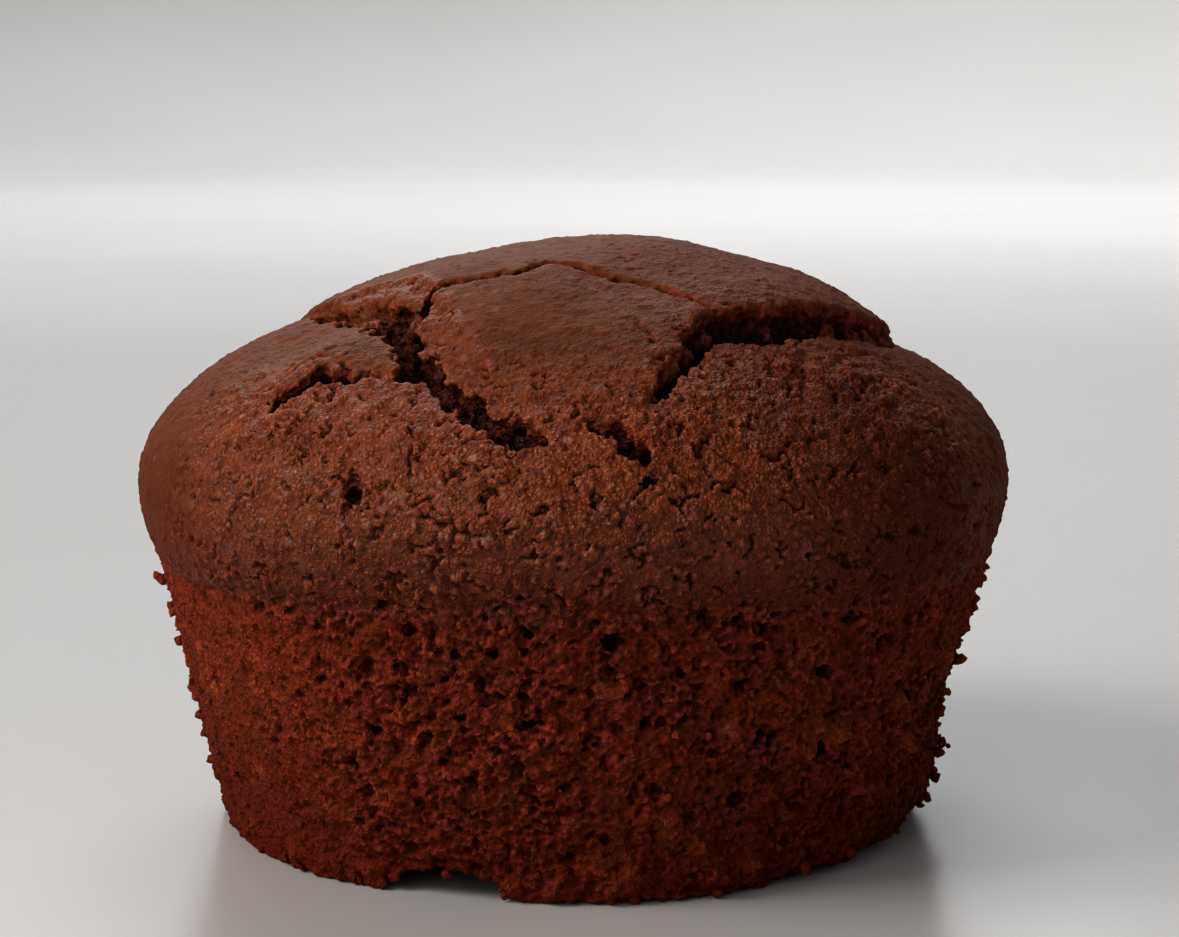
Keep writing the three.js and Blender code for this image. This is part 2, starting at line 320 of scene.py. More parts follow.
def along(path, x, y):
    """Distance to a path of (x, y, ...) points, and the path's third value at the nearest point."""
    best = np.full(x.shape, 1e9)
    values = np.zeros(x.shape)
    path = np.array(path, float)
    for a, b in zip(path, path[1:]):
        step = b[:2] - a[:2]
        t = np.clip(((x - a[0]) * step[0] + (y - a[1]) * step[1]) / (step @ step), 0, 1)
        distance = np.hypot(x - a[0] - t * step[0], y - a[1] - t * step[1])
        nearer = distance < best
        best = np.where(nearer, distance, best)
        if len(a) > 2:
            values = np.where(nearer, a[2] + t * (b[2] - a[2]), values)
    return best, values


def inside(outline, x, y):
    """Distance into a closed outline, below zero outside."""
    ring = np.array(outline + outline[:1], float)
    distance, _ = along(ring, x, y)
    within = np.zeros(x.shape, bool)
    for (ax, ay), (bx, by) in zip(ring, ring[1:]):
        if ay != by:
            within ^= ((ay > y) != (by > y)) & (x < (bx - ax) * (y - ay) / (by - ay) + ax)
    return np.where(within, distance, -distance)


TOP_CRACK = [
    (-11.5, -14.5, 0.3), (-10.5, -11, 0.36), (-6.5, -11.5, 0.46), (-4, -11.5, 0.34), (-2, -9.5, 0.42),
    (0.5, -10.5, 0.42), (3, -12.5, 0.4), (6, -13, 0.38), (9.5, -15.3, 0.3), (11, -16.2, 0),
]
FRONT_EDGE = [
    (11.5, -16.5), (10, -17.5), (8.5, -20.5), (8.5, -22.5), (7, -24.5), (6.5, -26.5), (5, -28),
    (6, -30), (4, -31), (1.5, -31), (-1, -31), (-2.5, -30), (-4.5, -29), (-6, -27.5), (-6.5, -26),
    (-8.5, -24.5), (-9.5, -22.5), (-11, -21.5), (-11, -18.5), (-12, -17),
]
REAR = 31
LIFTED = FRONT_EDGE + [
    (-12.5, -13.5), (-14.5, -10.5), (-16, -7), (-18.5, -3.5), (-20, 0), (-22, 4), (-23, 9),
] + [
    (REAR * math.cos(a), REAR * math.sin(a)) for a in np.radians(np.linspace(152, 28, 15))
] + [
    (24, 10), (25.5, 5), (25.5, 0), (24.5, -4), (22.5, -7), (19, -10.5), (16.5, -13), (13.5, -15.5),
]

# Where the crust came off the left sides of the lifted plates: corners in plan.
BARE_PATCHES = [
    [
        (-20.5, -3.5), (-18.5, -0.5), (-15.5, -2), (-13.5, -4.5), (-11.5, -7.5), (-10.7, -10.5),
        (-11.3, -14.5), (-13.5, -13.5), (-15.5, -9.5), (-17.5, -6.5),
    ],
    [
        (-10.9, -12), (-9.7, -13.9), (-9, -17), (-8, -19.3), (-6.9, -22), (-5, -25.5), (-4, -28),
        (-6, -28.5), (-9, -24.5), (-11.5, -21.5), (-12.5, -17),
    ],
]

# Cracks: depth, then points (x, y, half width) along the middle.
CRACKS = [
    (6.2, [
        (-22.5, 4, 0), (-20.5, -1, 0.5), (-17.5, -6.5, 0.6), (-15, -11, 1.1), (-13.5, -14, 1.5),
        (-13, -16.5, 0.75), (-12, -19, 0.95), (-11.5, -21, 1.25), (-10, -23.5, 0.75), (-8.5, -25.5, 1.15),
        (-7, -27.5, 1.2), (-5.5, -29, 0.8), (-4, -30, 1.0), (-2.5, -31, 0.7), (-1, -31.7, 0),
    ]),
    (2.3, [
        (-12.5, -22.5, 0), (-13.6, -21.4, 0.3), (-14.6, -21.3, 0.2), (-15.6, -20.6, 0.34),
        (-16.4, -20.9, 0.26), (-17.2, -19.9, 0.6), (-18.2, -20, 0.5), (-19, -19.2, 0.8),
        (-20.2, -19.9, 0.6), (-21.2, -19.8, 0.7), (-21.8, -20.8, 0.5), (-22.6, -21.4, 0),
    ]),
    (4.0, [
        (6.5, -20.5, 0), (9, -20, 0.2), (10.5, -18, 0.5), (12.5, -16.5, 0.7), (15, -15, 0.65),
        (17.5, -12.5, 0.55), (20, -10.5, 0.5), (23, -7, 0.45), (25, -4, 0.4), (26.5, 1, 0),
    ]),
    (4.0, [
        (10.5, -18, 0.35), (9.5, -20, 0.4), (9, -22, 0.42), (8, -24, 0.4), (7, -25.5, 0.35),
        (6.5, -27, 0.25), (5, -28.5, 0),
    ]),
    (3.2, [(1, -30, 0), (2, -30.5, 0.6), (3.5, -31, 0.9), (5, -31.6, 0.5), (6, -32.3, 0)]),
    (1.5, [
        (-15.3, -29.6, 0), (-15.9, -30.1, 0.35), (-15.4, -30.6, 0.5),
        (-16.3, -30.9, 0.4), (-15.5, -31.4, 0),
    ]),
    (2.6, TOP_CRACK),
    (1.9, [(9.8, -14.6, 0), (11.5, -15.3, 0.25), (13.5, -15.8, 0.35)]),
    (0.6, [(-28, -8.5, 0), (-28, -11, 0.35), (-28, -14, 0)]),
]


def vertices(mesh):
    """The places of a mesh's vertices, one row each."""
    flat = np.empty(3 * len(mesh.vertices))
    mesh.vertices.foreach_get("co", flat)
    return flat.reshape(-1, 3)


def vertex_normals(mesh):
    """The directions of a mesh's vertices, one row each."""
    flat = np.empty(3 * len(mesh.vertices))
    mesh.vertex_normals.foreach_get("vector", flat)
    return flat.reshape(-1, 3)


def move_vertices(mesh, points):
    """Puts a mesh's vertices in new places."""
    mesh.vertices.foreach_set("co", points.ravel())
    mesh.update()


def apply_modifiers(piece):
    """Makes the shape that the piece's modifiers give its own mesh."""
    graph = bpy.context.evaluated_depsgraph_get()
    mesh = bpy.data.meshes.new_from_object(piece.evaluated_get(graph))
    piece.modifiers.clear()
    piece.data = mesh


def remesh(piece, size):
    """Covers the piece with an even mesh of the given size."""
    skin = piece.modifiers.new("skin", "REMESH")
    skin.mode = "VOXEL"
    skin.voxel_size = size
    apply_modifiers(piece)


section = [(r, 0) for r in np.linspace(0, FOOT_RADIUS, 20)]
section += [(float(side_radius(z)), z) for z in np.linspace(0, LIP_HEIGHT, 34)[1:]]
section += [
    (LIP_RADIUS * math.cos(a), LIP_HEIGHT + DOME_RISE * math.sin(a))
    for a in np.linspace(0, math.pi / 2, 52)[1:]
]
body = new_piece("body", spun(section, BODY_SEGMENTS))
refine = body.modifiers.new("refine", "SUBSURF")
refine.subdivision_type = "SIMPLE"
refine.levels = 2
refine.render_levels = 2
apply_modifiers(body)

# Raggedness of the edges: strength, size and two seeds of each layer of waves.
RAGGED_EDGES = [(0.36, 1.6, 11, 13), (0.26, 0.75, 12, 14), (0.16, 0.4, 15, 16)]


def warped(x, y):
    """Bends the plan a little, so that plates and cracks have ragged edges that still match."""
    flat = np.column_stack([x, y, np.zeros(len(x))])
    for strength, size, seed_x, seed_y in RAGGED_EDGES:
        x = x + strength * waves(flat, size, seed_x)
        y = y + strength * waves(flat, size, seed_y)
    return x, y


STEEP_SIDE = 0.3
WIDE_SIDE = 2.2


def slope_width(x, y):
    """How wide a plate's side slopes: wide on the left, steep elsewhere."""
    front_plate = hill(x, y, (-10, -21), (5, 7))
    back_plate = hill(x, y, (-17, -8), (5, 6))
    return STEEP_SIDE + WIDE_SIDE * front_plate + WIDE_SIDE * back_plate


def plate_share(x, y):
    """How much of the crown's lift a place has: 1 on the plates, 0 on the lower dome."""
    t = np.clip(inside(LIFTED, x, y) / slope_width(x, y), 0, 1)
    return t * (2 - t)


def into_patches(x, y):
    """Distance into the bare patches, below zero outside."""
    return np.maximum(*[inside(patch, x, y) for patch in BARE_PATCHES])


def bare_patch(x, y):
    """1 where the crust came off the plates."""
    return smoothstep(into_patches(x, y), -0.1, 0.6)


def sloping(x, y):
    """1 on the sloping left sides of the plates, which are brown and grainy."""
    return smoothstep(into_patches(x, y), -1.4, -0.2)


HAIRLINE = 0.04  # a narrower crack is none


def crack_depth(x, y):
    """How deep the cracks reach below the surface, with steep sides that close to a narrow floor."""
    deepest = np.zeros(len(x))
    uneven = 1 + 0.7 * waves(np.column_stack([x, y, np.zeros(len(x))]), 0.9, 73)
    for depth, path in CRACKS:
        distance, half = along(path, x, y)
        half = half * uneven
        opening = 1 - smoothstep(distance / np.maximum(half, HAIRLINE), 0.4, 1.2)
        deepest = np.maximum(deepest, np.where(half > HAIRLINE, depth * opening, 0))
    return deepest


DOME_BLEND = 3  # the lip gives way to the dome over this height
LEFT_TURN = -0.85  # angle of the left side from the front, in radians
LEFT_STEP = 0.35  # the wall lies this far inside the crust's edge there
RIGHT_DENT = 0.65  # and bends in this far on the right,
DENT_PLACE = ((1.45, 11), (0.5, 7))  # around this angle and height
PATCH_DEPTH = 0.45

points = vertices(body.data)
x, y, z = points.T
angle = np.arctan2(x, -y)
radius = np.hypot(x, y)
on_dome = smoothstep(z, LIP_HEIGHT, LIP_HEIGHT + DOME_BLEND)
dome_share = np.clip(z / LIP_HEIGHT, 0, 1)
wave = slow_wave(x, y, z)
plan_x, plan_y = warped(x, y)
lift = np.maximum(crown_height(x, y) - loaf_height(x, y), 0) * plate_share(plan_x, plan_y)
bulge = loaf_height(x, y) - loaf_height(radius, 0 * y)
wear = wear_at(angle)
down = np.clip((wear - z) / wear, 0, 1)
edge = smoothstep(radius, FOOT_RADIUS - WEAR_REACH, FOOT_RADIUS)
outward = smoothstep(z, 0, 0.4) * wave * (1 - dome_share) - edge * wear * (1 - np.sqrt(1 - down ** 2))
under_lip = smoothstep(z, RIM_HEIGHT - 3, RIM_HEIGHT - 0.4)
under_lip *= 1 - smoothstep(z, RIM_HEIGHT - 0.1, RIM_HEIGHT + 0.5)
outward -= LEFT_STEP * under_lip * np.exp(-((angle - LEFT_TURN) / 0.45) ** 2)
outward -= RIGHT_DENT * hill(angle, z, *DENT_PLACE)
scale = (radius + outward) / np.maximum(radius, 0.01)
rise = wave * dome_share + rim_rise(angle, z) * smoothstep(z, 1, 8)
rise += on_dome * (lift + bulge - crack_depth(plan_x, plan_y) - PATCH_DEPTH * bare_patch(plan_x, plan_y))
move_vertices(body.data, np.column_stack([x * scale, y * scale, z + rise]))
remesh(body, FIRST_VOXEL)


def skin_height(x, y, z):
    """Height of the unbroken crust over a place."""
    swell = slow_wave(x, y, z)
    plan_x, plan_y = warped(x, y)
    plated = inside(LIFTED, plan_x, plan_y) > 0
    height = np.where(plated, np.maximum(crown_height(x, y), loaf_height(x, y)), loaf_height(x, y))
    return height + swell


def crumb_share(points):
    """1 where crumb lies bare, on the wall, the foot and the sides of the tears, and 0 on crust."""
    x, y, z = points.T
    angle = np.arctan2(x, -y)
    fall = skin_height(x, y, z) - z
    torn = smoothstep(fall, 0.2, 0.6) * smoothstep(z, LIP_HEIGHT, LIP_HEIGHT + DOME_BLEND)
    deep = smoothstep(fall, 1.3, 2.2)
    torn *= 1 - 0.8 * sloping(*warped(x, y)) * (1 - deep)
    left = np.exp(-((angle - LEFT_TURN) / 0.5) ** 2)
    ragged = 0.9 * waves(points, 2.6, 21) + 0.5 * waves(points, 0.9, 22)
    ragged *= 1.5 - 1.25 * left
    wall = 1 - smoothstep(z - rim_rise(angle, z) + ragged, RIM_HEIGHT - 0.2, RIM_HEIGHT + 1.4 - left)
    return np.maximum(torn, wall)


# Open bubbles of the wall: angle from the front in degrees, height, radius.
BUBBLES = [
    (-35, 20.5, 0.55), (-27.6, 20.8, 0.4), (-27.8, 22.3, 0.4), (-32.8, 22.3, 0.4), (-42.5, 18.1, 0.35),
    (-24, 15.5, 0.45), (-27.7, 12.7, 0.6), (-14.6, 14.5, 0.65), (-5.7, 13.9, 0.6), (-54, 6.7, 0.35),
    (-42.6, 7.4, 0.35), (-33.6, 9.9, 0.35), (24.5, 20.7, 0.7), (21, 21.7, 0.55), (45, 18.7, 0.75),
    (36, 16.7, 0.6), (19.4, 11.6, 0.5), (35.2, 8.1, 0.5), (16.6, 22, 0.5), (40.4, 19.9, 0.4),
    (51, 20.5, 0.5), (-9, 8.2, 0.4), (6, 17.6, 0.4),
]
MORE_BUBBLES = 40
draw = random.Random(4)
for _ in range(MORE_BUBBLES):
    BUBBLES.append((draw.uniform(62, 298), draw.uniform(2, 22), draw.uniform(0.35, 0.75)))

# Torn bits that stand out of the wall: angle from the front, height, radius, rise.
FLAPS = [
    (13, 6.4, 0.6, 0.8), (14.3, 5.6, 0.6, 0.9), (15.6, 5.2, 0.5, 0.8), (17, 4.6, 0.6, 1.0),
    (18.6, 4.1, 0.6, 1.0), (19.8, 3.2, 0.6, 1.0), (21.5, 2.4, 0.7, 1.0), (22.6, 1.6, 0.5, 0.8),
    (8.5, 2.5, 0.7, 0.9), (5.8, 1.5, 0.8, 1.0), (-2, 1.2, 0.8, 0.9), (-9, 0.9, 0.6, 0.8),
    (27, 2.2, 0.7, 0.8), (-31.5, 1.2, 0.6, 0.7), (-47, 1.4, 0.7, 0.8), (-60, 2.2, 0.6, 0.8),
    (33, 5.5, 0.6, 0.9), (40, 11.6, 0.7, 1.0), (47, 6.4, 0.6, 0.9), (52, 13.5, 0.6, 0.9),
    (57, 9.4, 0.7, 1.0), (60, 8.4, 0.6, 1.1), (68, 15, 0.7, 1.0), (70, 5, 0.6, 1.0),
]


def on_wall(degrees, height):
    """A place on the smooth wall, by its angle from the front and its height."""
    turn = math.radians(degrees)
    out = float(side_radius(height))
    return np.array((out * math.sin(turn), -out * math.cos(turn), height))


def bend(points, strength, size, seed):
    """Moves points about at random, so that shapes worked out from them come out irregular."""
    return points + strength * np.column_stack([waves(points, size, seed + i) for i in range(3)])


def smoothed(points):
    """1 on the left of the wall, where the crumb was pressed smooth, and 0 elsewhere."""
    angle = np.degrees(np.arctan2(points[:, 0], -points[:, 1]))
    return np.exp(-((angle + 58) / 24) ** 2) * (points[:, 2] < LIP_HEIGHT)


# Balls of the coarse crumb: spacing, radii, share of the places that have one, and seed.
CLODS = (1.4, (0.3, 0.7), 0.7, 52)
LARGE_BUBBLES = (2.6, (0.5, 0.95), 0.25, 36)
SMALL_BUBBLES = (1.05, (0.36, 0.72), 0.85, 38)
WALL_LEVEL = 0.06
TEAR_LEVEL = -0.15
TEAR_ROUGHNESS = 0.7
DEEPEST_BUBBLE = 2.2


def coarse_relief(points, normals, bare):
    """Relief of the torn crumb, outwards: clods with creases between them, and bubbles that lie open."""
    z = points[:, 2]
    rough = (1 - 0.62 * smoothed(points)) * (0.85 + 0.4 * waves(points, 5, 33))
    bent = bend(bend(points, 0.4, 1.0, 31), 0.26, 0.5, 61)
    relief = np.where(z > LIP_HEIGHT, TEAR_LEVEL, WALL_LEVEL)
    relief = relief + 0.26 * waves(points, 2.6, 34) + 0.5 * waves(points, 0.9, 35)
    relief += 0.8 * balls(bent, normals, *CLODS, grains=True)
    relief -= balls(bent, normals, *LARGE_BUBBLES)
    relief -= 0.8 * balls(bent, normals, *SMALL_BUBBLES)
    relief *= rough
    for degrees, height, size, rise in FLAPS:
        relief += rise * np.exp(-(np.linalg.norm(bent - on_wall(degrees, height), axis=1) / size) ** 2)
    hole = np.zeros(len(points))
    for degrees, height, size in BUBBLES:
        away = np.linalg.norm((bent - on_wall(degrees, height)) * (1, 1, 1.2), axis=1)
        hole = np.maximum(hole, 2.1 * size * (1 - smoothstep(away, size * 0.65, size * 1.15)))
    relief = np.where(z > LIP_HEIGHT, TEAR_ROUGHNESS * relief, relief)
    return bare * np.maximum(relief - hole, -DEEPEST_BUBBLE)


UNDERCUT = 0.9  # the crust overhangs the sides of the tears this far
ARCH_ANGLE = math.radians(-20)  # an arched gap under the front edge
ARCH_HALF = math.radians(10.5)
ARCH_HEIGHT = 2.1
ARCH_REACH = 4  # the crumb above it gives way up to this height

points = vertices(body.data)
normals = vertex_normals(body.data)
x, y, z = points.T
bare = crumb_share(points)
relief = np.zeros(len(points))
near = bare > 0
relief[near] = coarse_relief(points[near], normals[near], bare[near])
steep = smoothstep(0.85 - np.abs(normals[:, 2]), 0, 0.5) * (z > LIP_HEIGHT + 1)
fall = skin_height(x, y, z) - z
relief -= UNDERCUT * steep * smoothstep(fall, 0.7, 1.4)
moved = points + normals * relief[:, None]
angle = np.arctan2(x, -y)
radius = np.hypot(x, y)
arch = np.sqrt(np.clip(1 - ((angle - ARCH_ANGLE) / ARCH_HALF) ** 2, 0, 1)) * smoothstep(radius, 15, 23)
moved[:, 2] += arch * ARCH_HEIGHT * np.clip(1 - z / ARCH_REACH, 0, 1)
moved[:, 2] = np.maximum(moved[:, 2], 0)
move_vertices(body.data, moved)
remesh(body, LAST_VOXEL)


def seams(points, spacing, seed):
    """Distance from the borders between cells that are strewn through space."""
    cell = np.floor(points / spacing).astype(np.int64)
    first = np.full(len(points), 1e9, np.float32)
    second = first.copy()
    for step in itertools.product((-1, 0, 1), repeat=3):
        here = cell + step
        away = np.linalg.norm(points - (here + drawn(here, seed)) * spacing, axis=1)
        second = np.minimum(second, np.maximum(first, away))
        first = np.minimum(first, away)
    return second - first


def grain_share(points):
    """Where the crust is grainy: the front below the plates, most near the rim and on the right."""
    x, y, z = points.T
    front = smoothstep(-y, 2, 24)
    low = 1 - smoothstep(z, 33, 43.5)
    smooth_left = smoothstep(x, -35, -23)
    rear = 0.3 * smoothstep(y, 4, 20) * smoothstep(waves(points, 9, 83), -0.5, 0.3)
    right_lobe = 0.45 * hill(x, y, (18, -22), (11, 9))
    slopes = 0.6 * sloping(*warped(x, y)) * (z > LIP_HEIGHT)
    return np.clip(np.maximum(0.25 + 0.75 * front * low * smooth_left, slopes) + right_lobe + rear, 0, 1)


RIGHT_LOBE = ((20, -18), (9, 9))  # the crust is lumpy here
# Balls of the fine relief, as for the coarse crumb.
PORES = (0.62, (0.18, 0.38), 0.75, 40)
LUMPS = (1.25, (0.3, 0.7), 0.6, 53)
GRAINS = (0.6, (0.18, 0.34), 0.7, 44)
PITS = (1.5, (0.1, 0.32), 0.3, 46)


def fine_relief(points, normals, bare, grain):
    """The crumb's small pits, and the crust's lumps, grains, pits and short splits."""
    bent = bend(points, 0.2, 0.45, 70)
    crumb = 0.25 * waves(points, 0.42, 41) - 0.7 * balls(bent, normals, *PORES)
    crumb *= 1 - 0.4 * smoothed(points)
    lumpy = 0.16 * hill(points[:, 0], points[:, 1], *RIGHT_LOBE)
    skin = (0.04 + 0.13 * grain + lumpy) * waves(points, 1.7, 42)
    skin = skin + (0.03 + 0.08 * grain) * waves(points, 0.55, 43)
    skin += grain * 0.4 * balls(bent, normals, *LUMPS, grains=True)
    skin += grain * 0.8 * balls(bent, normals, *GRAINS, grains=True)
    skin -= (0.3 + 0.6 * grain) * balls(bend(points, 0.4, 0.6, 76), normals, *PITS)
    split = 1 - smoothstep(seams(bend(points, 0.5, 0.7, 54), 1.9, 48), 0.05, 0.24)
    split *= smoothstep(waves(points, 1.6, 49) + 0.3 * grain, 0.38, 0.58)
    skin -= 0.5 * split * smoothstep(grain, 0.3, 0.6)
    return bare * crumb + (1 - bare) * skin


points = vertices(body.data)
normals = vertex_normals(body.data)
bare = crumb_share(points)
grain = grain_share(points)
points += normals * fine_relief(points, normals, bare, grain)[:, None]
points[:, 2] = np.maximum(points[:, 2], 0)
move_vertices(body.data, points)


def set_attribute(mesh, name, values):
    """Stores one number for each vertex, for the materials to read."""
    attribute = mesh.attributes.new(name, "FLOAT", "POINT")
    attribute.data.foreach_set("value", np.asarray(values, np.float32))


# Places where torn crumb is pale and orange, partly paler crumb and partly a painted highlight on bits
# that stand out: angle from the front, height, spread.
PALE_PLACES = [
    (-63, 13.1, 0.9), (-59, 13.6, 0.6), (-49, 15, 0.8), (-28, 7.5, 0.8), (-34, 5.1, 0.8), (3.4, 3.1, 0.9),
    (95, 9, 1.0), (140, 14, 1.1), (-150, 6, 1.2), (-105, 17, 1.0),
] + [(degrees, height, 1.2 * size) for degrees, height, size, _ in FLAPS]
MORE_PALE = 60
draw = random.Random(12)
for _ in range(MORE_PALE):
    PALE_PLACES.append((draw.uniform(-180, 180), draw.uniform(1.5, 20.5), draw.uniform(0.35, 0.75)))

# Painted shade in the dome's tears and cracks, and a little on the foot:
TEAR_SHADE = (0.7, 2.1)  # a tear gets darker from this depth, and is darkest this much deeper
FOOT_SHADE = 0.15  # the flat foot is as dark as crumb at this depth


def depth_below_skin(points):
    """How deep a place lies below the smooth wall in millimetres, or as a share in the dome's tears."""
    x, y, z = points.T
    radius = np.hypot(x, y)
    below_lip = 1 - np.clip(z / LIP_HEIGHT, 0, 1)
    wall = side_radius(np.clip(z, 0, LIP_HEIGHT)) + slow_wave(x, y, z) * below_lip - radius
    dome = (skin_height(x, y, z) - z - TEAR_SHADE[0]) / TEAR_SHADE[1]
    return np.where(z > LIP_HEIGHT + 1.5, dome, np.where(z < 1.5, FOOT_SHADE, wall))


def paleness(points):
    """How pale the torn crumb is, partly paler crumb and partly a painted highlight: at its pale places,
    on the bare patches and on the left, towards the light.
    """
    x, y, z = points.T
    pale = np.zeros(len(points))
    for degrees, height, spread in PALE_PLACES:
        away = np.linalg.norm(points - on_wall(degrees, height), axis=1)
        pale = np.maximum(pale, np.exp(-(away / spread) ** 2))
    patches = bare_patch(*warped(x, y)) * (z > LIP_HEIGHT)
    angle = np.degrees(np.arctan2(x, -y))
    left = np.exp(-((angle + 52) / 24) ** 2) * smoothstep(z, 5, 16) * (z < LIP_HEIGHT)
    return np.maximum(pale, np.maximum(0.2 * patches, 0.22 * left))


def crust_shade(points):
    """Painted shade on the crust, away from the light: the right lobe most, the right side of the plates,
    and a little low in front.
    """
    x, y, z = points.T
    lobe = 0.5 * hill(x, y, (22, -22), (10, 7)) + 0.3 * smoothstep(x, 4, 30) * smoothstep(-y, -12, 4)
    return np.clip(lobe + 0.2 * hill(x, y, (0, -24), (8, 5)), 0, 1)


def ridges(mesh, points, normals, bare):
    """How far each vertex stands out from its surroundings: 0.5 on the level, 1 on sharp crests."""
    ends = np.empty(2 * len(mesh.edges), np.int64)
    mesh.edges.foreach_get("vertices", ends)
    first, second = ends.reshape(-1, 2).T
    size = len(points)
    count = np.bincount(first, minlength=size) + np.bincount(second, minlength=size)
    around = points
    for _ in range(4):
        around = np.column_stack([
            (np.bincount(first, axis[second], size) + np.bincount(second, axis[first], size)) / count
            for axis in around.T
        ])
    sharp = ((points - around) * normals).sum(axis=1)
    gain = (2.0 + 1.8 * waves(points, 2.8, 72)) * (1.3 - 0.3 * bare)  # per millimetre
    return np.clip(0.5 + sharp * gain, 0, 1)


points = vertices(body.data)
# ridge drives painted shade in hollows and a painted highlight on crests.
set_attribute(body.data, "ridge", ridges(body.data, points, vertex_normals(body.data), bare))
set_attribute(body.data, "bare", bare)
set_attribute(body.data, "grain", grain)
# depth drives painted shade in the crumb's bubbles, tears and cracks.
set_attribute(body.data, "depth", np.clip(depth_below_skin(points), 0, 1))
set_attribute(body.data, "pale", paleness(points))
# dark holds the painted shade on the right of the crust.
set_attribute(body.data, "dark", crust_shade(points))


def cut_piece(source, name, planes):
    """Copies the part of a closed mesh that lies in front of every plane (a point and a direction),
    and closes the cuts flat."""
    shape = bmesh.new()
    shape.from_mesh(source.data)
    for point, direction in planes:
        whole = shape.verts[:] + shape.edges[:] + shape.faces[:]
        cut = bmesh.ops.bisect_plane(
            shape, geom=whole, plane_co=point, plane_no=direction, dist=1e-5, clear_inner=True,
        )
        rim = [item for item in cut["geom_cut"] if isinstance(item, bmesh.types.BMEdge)]
        bmesh.ops.holes_fill(shape, edges=rim, sides=0)
        for edge in rim:
            edge.smooth = False
    for face in shape.faces:
        face.smooth = True
    return new_piece(name, shape)


def finish_piece(piece, material):
    piece.data.transform(Matrix.Scale(MM, 4))
    piece.data.materials.clear()
    piece.data.materials.append(material)
    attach(piece, "root")
    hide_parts("muffin")


# ---- Crust ----
# The baked top: brown and dull on the plates, redder and grainy low in front, with bare crumb in its
# tears. It is the body above the rim, in four sectors.


def ramp(tree, value, start, end, high=1.0, low=0.0):
    """A number that goes from low to high while the value goes from start to end."""
    return node(tree, "ShaderNodeMapRange", {
        "Value": value, "From Min": start, "From Max": end, "To Min": low, "To Max": high,
    }).outputs["Result"]


def calc(tree, operation, first, second, **settings):
    """The result of one sum on two numbers."""
    return node(tree, "ShaderNodeMath", {0: first, 1: second}, operation=operation, **settings).outputs[0]


def stored(tree, name):
    """A number that the mesh holds for each vertex."""
    return node(tree, "ShaderNodeAttribute", attribute_name=name).outputs["Fac"]


GRAIN_WOBBLE = (0.4 * MM,) * 3
DUST_SHARE = 0.35
FLECK_SCALE = 900.0
FLECK_LUCK = 0.96
GLINT_LUCK = 0.84


def cake_group():
    """Fine colour and height of cake: small grains of uneven tone, with painted shade at their edges, on a
    mottled ground, with flecks and painted glints.
    """
    group = bpy.data.node_groups.new("cake_grain", "ShaderNodeTree")
    for name, kind in (("Light", "Color"), ("Dark", "Color"), ("Fleck", "Color"), ("Flecks", "Float"),
                       ("Grain", "Float"), ("Contrast", "Float"), ("Glints", "Float")):
        group.interface.new_socket(name, in_out="INPUT", socket_type=f"NodeSocket{kind}")
    for name, kind in (("Color", "Color"), ("Height", "Float")):
        group.interface.new_socket(name, in_out="OUTPUT", socket_type=f"NodeSocket{kind}")
    given = group.nodes.new("NodeGroupInput").outputs
    result = group.nodes.new("NodeGroupOutput")
    place = node(group, "ShaderNodeTexCoord").outputs["Object"]
    mottle = noise(group, place, 480.0, 4.0, 0.62).outputs["Fac"]
    wobble = noise(group, place, 1500.0, 1.0).outputs["Color"]
    shift = node(group, "ShaderNodeVectorMath", {
        0: wobble, 1: GRAIN_WOBBLE,
    }, operation="MULTIPLY").outputs[0]
    bent = node(group, "ShaderNodeVectorMath", {0: place, 1: shift}, operation="ADD").outputs[0]
    grains = node(group, "ShaderNodeTexVoronoi", {"Vector": bent, "Scale": given["Grain"]})
    luck = node(group, "ShaderNodeSeparateColor", {"Color": grains.outputs["Color"]}).outputs
    round_height = ramp(group, grains.outputs["Distance"], 0.75, 0.05)
    grain_height = calc(group, "MULTIPLY", round_height, ramp(group, luck["Green"], 0.0, 1.0, low=0.4))
    dust = noise(group, place, 5200.0, 2.0, 0.6).outputs["Fac"]
    height = calc(group, "ADD", grain_height, calc(group, "MULTIPLY", dust, DUST_SHARE))
    # Each grain's tone is partly random and partly painted shade: it falls to the dark colour at the
    # grain's edge.
    tone_and_shade = calc(group, "MULTIPLY", luck["Red"], grain_height)
    share = node(group, "ShaderNodeMix", {
        "Factor": given["Contrast"], "A": ramp(group, mottle, 0.3, 0.7), "B": tone_and_shade,
    }, data_type="FLOAT").outputs["Result"]
    tone = blend(group, share, given["Dark"], given["Light"])
    cells = node(group, "ShaderNodeTexVoronoi", {"Vector": bent, "Scale": FLECK_SCALE}).outputs
    chosen = node(group, "ShaderNodeSeparateColor", {"Color": cells["Color"]}).outputs["Red"]
    rare = calc(group, "GREATER_THAN", chosen, FLECK_LUCK)
    fleck = calc(group, "MULTIPLY", ramp(group, cells["Distance"], 0.42, 0.2), rare)
    # Painted glints: the tops of a few grains take the fleck colour.
    few = calc(group, "GREATER_THAN", luck["Blue"], GLINT_LUCK)
    glint = calc(group, "MULTIPLY", ramp(group, round_height, 0.45, 0.75), few)
    flecks = calc(group, "MULTIPLY", fleck, given["Flecks"])
    glints = calc(group, "MULTIPLY", glint, given["Glints"])
    spotted = blend(group, calc(group, "MAXIMUM", flecks, glints), tone, given["Fleck"])
    group.links.new(spotted, result.inputs["Color"])
    group.links.new(height, result.inputs["Height"])
    return group


